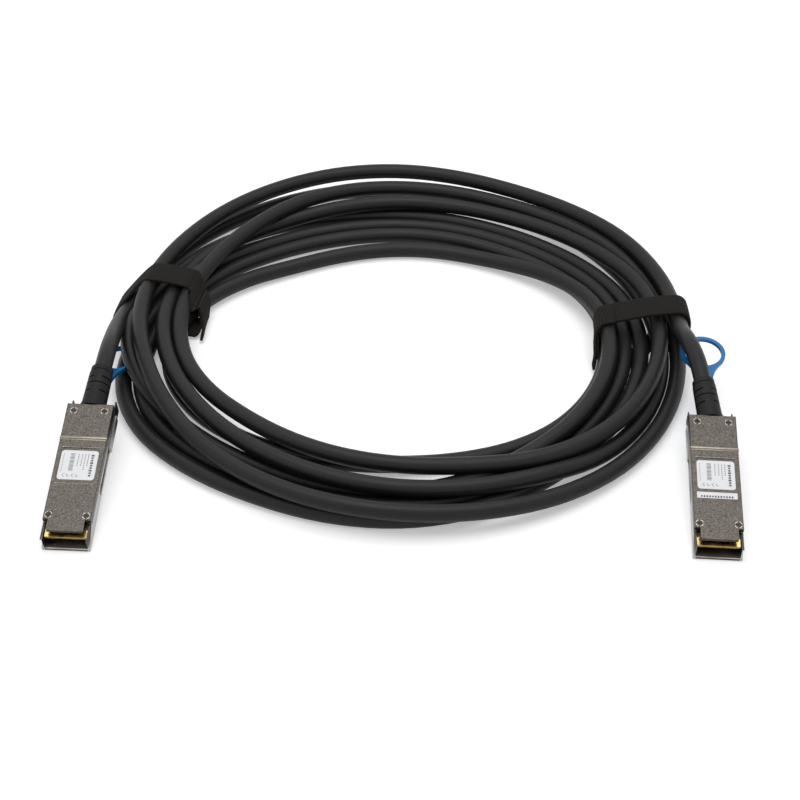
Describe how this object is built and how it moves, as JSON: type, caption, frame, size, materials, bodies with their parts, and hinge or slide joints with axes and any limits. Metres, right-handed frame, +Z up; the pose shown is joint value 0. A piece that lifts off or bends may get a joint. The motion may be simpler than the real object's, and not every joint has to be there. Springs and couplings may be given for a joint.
{
  "type": "direct attach copper cable",
  "caption": "Coiled round black data cable with a metal pluggable end on each side, sprung latch sliders, blue pull rings and fabric cable ties.",
  "frame": {"origin": "middle of the two plugs' common box, on the surface that the cable lies on", "axes": "+X from the left plug to the right plug, +Y from the plugs' noses towards the coil, +Z up"},
  "size_m": [0.2698, 0.2549, 0.028],
  "materials": {
    "shell_metal": "satin nickel plated die casting",
    "bright_metal": "bright stamped steel",
    "card_green": "green solder mask",
    "contact_gold": "gold plated",
    "chip_black": "moulded black",
    "mould_clear": "milky hot melt",
    "wire_white": "clear film over foil",
    "ferrule_brass": "plain",
    "boot_black": "satin moulded",
    "jacket_black": "satin extruded jacket",
    "tab_blue": "satin moulded",
    "label_white": "satin paper label",
    "tie_black": "ribbed woven tie with a fuzzy edge"
  },
  "bodies": {
    "root": {"left_lower_shell": "shell_metal", "left_upper_shell": "shell_metal", "left_emi_gasket": "bright_metal", "left_cover_screws": "bright_metal", "left_paddle_card": "card_green", "left_contact_pads": "contact_gold", "left_id_chip": "chip_black", "left_card_parts": "chip_black", "left_wire_overmould": "mould_clear", "left_twinax_wires": "wire_white", "left_shield_ferrule": "ferrule_brass", "left_strain_relief": "boot_black", "left_return_springs": "bright_metal", "left_id_label": "label_white", "right_lower_shell": "shell_metal", "right_upper_shell": "shell_metal", "right_emi_gasket": "bright_metal", "right_cover_screws": "bright_metal", "right_paddle_card": "card_green", "right_contact_pads": "contact_gold", "right_id_chip": "chip_black", "right_card_parts": "chip_black", "right_wire_overmould": "mould_clear", "right_twinax_wires": "wire_white", "right_shield_ferrule": "ferrule_brass", "right_strain_relief": "boot_black", "right_return_springs": "bright_metal", "right_id_label": "label_white", "right_origin_strip": "label_white", "cable_coil": "jacket_black", "left_lead": "jacket_black", "right_lead": "jacket_black", "left_strap": "tie_black", "right_strap": "tie_black"},
    "left_latch": {"left_latch_slider": "bright_metal", "left_pull_tab": "tab_blue"},
    "right_latch": {"right_latch_slider": "bright_metal", "right_pull_tab": "tab_blue"}
  },
  "joints": [
    {"name": "left_latch_slide", "type": "slide", "parent": "root", "child": "left_latch", "axis": [0.0565, 0.9687, 0.2418], "range_m": [0, 0.0028], "stiffness_N_per_m": 1500, "springref_m": -0.001, "deforming": ["left_return_springs"]},
    {"name": "right_latch_slide", "type": "slide", "parent": "root", "child": "right_latch", "axis": [0.0725, 0.9773, 0.1992], "range_m": [0, 0.0028], "stiffness_N_per_m": 1500, "springref_m": -0.001, "deforming": ["right_return_springs"]}
  ]
}
